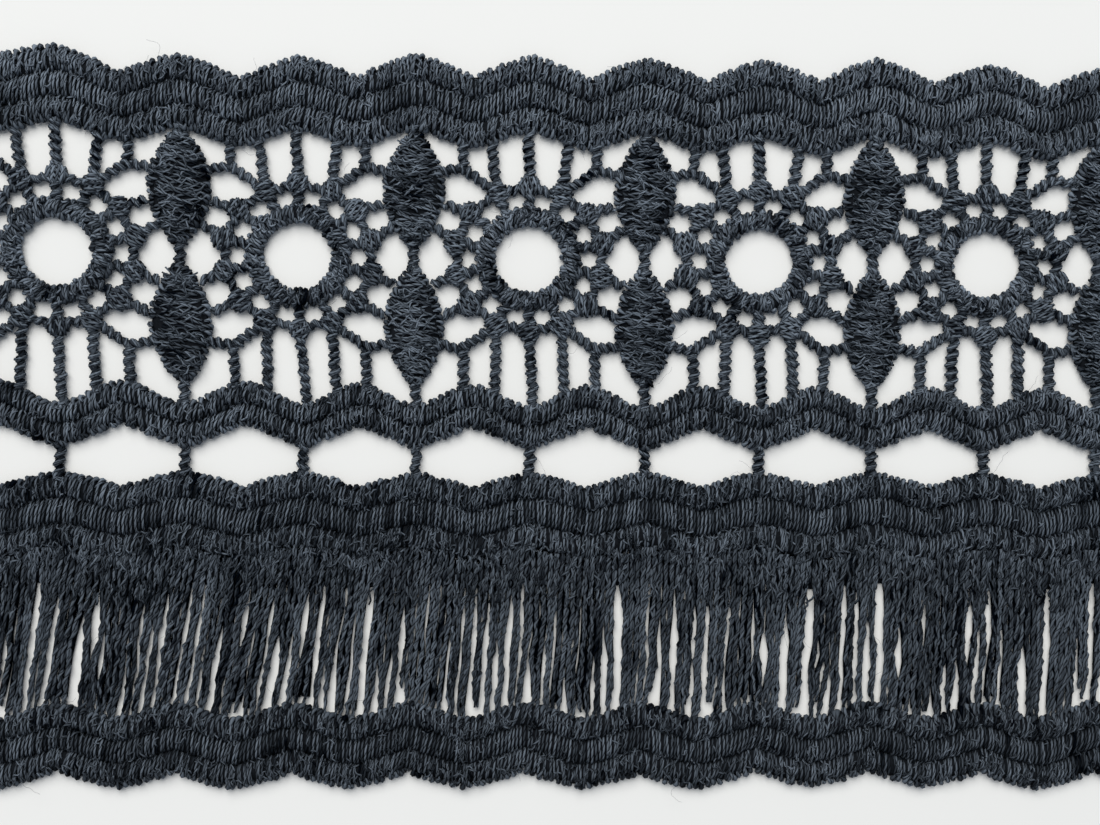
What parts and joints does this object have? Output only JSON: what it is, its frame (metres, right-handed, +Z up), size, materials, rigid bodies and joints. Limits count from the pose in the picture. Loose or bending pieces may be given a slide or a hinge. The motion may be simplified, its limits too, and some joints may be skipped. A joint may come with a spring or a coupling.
{
  "type": "guipure lace trim with a fringe row",
  "caption": "Cut length of flat embroidered lace trim: scalloped heading, rosettes between leaf pairs, zigzag band, open row, ribbed band, strand fringe and hem band.",
  "frame": {"origin": "middle of the length and width, on the underside", "axes": "+X along the trim, +Y across it towards the scalloped heading, +Z up out of its face"},
  "size_m": [0.1546, 0.0912, 0.0019],
  "materials": {
    "lace_thread": "matt black embroidery thread in satin stitch",
    "fringe_thread": "matt black loosely twisted thread"
  },
  "bodies": {
    "root": {"lace": "lace_thread", "fringe": "fringe_thread"}
  },
  "joints": []
}
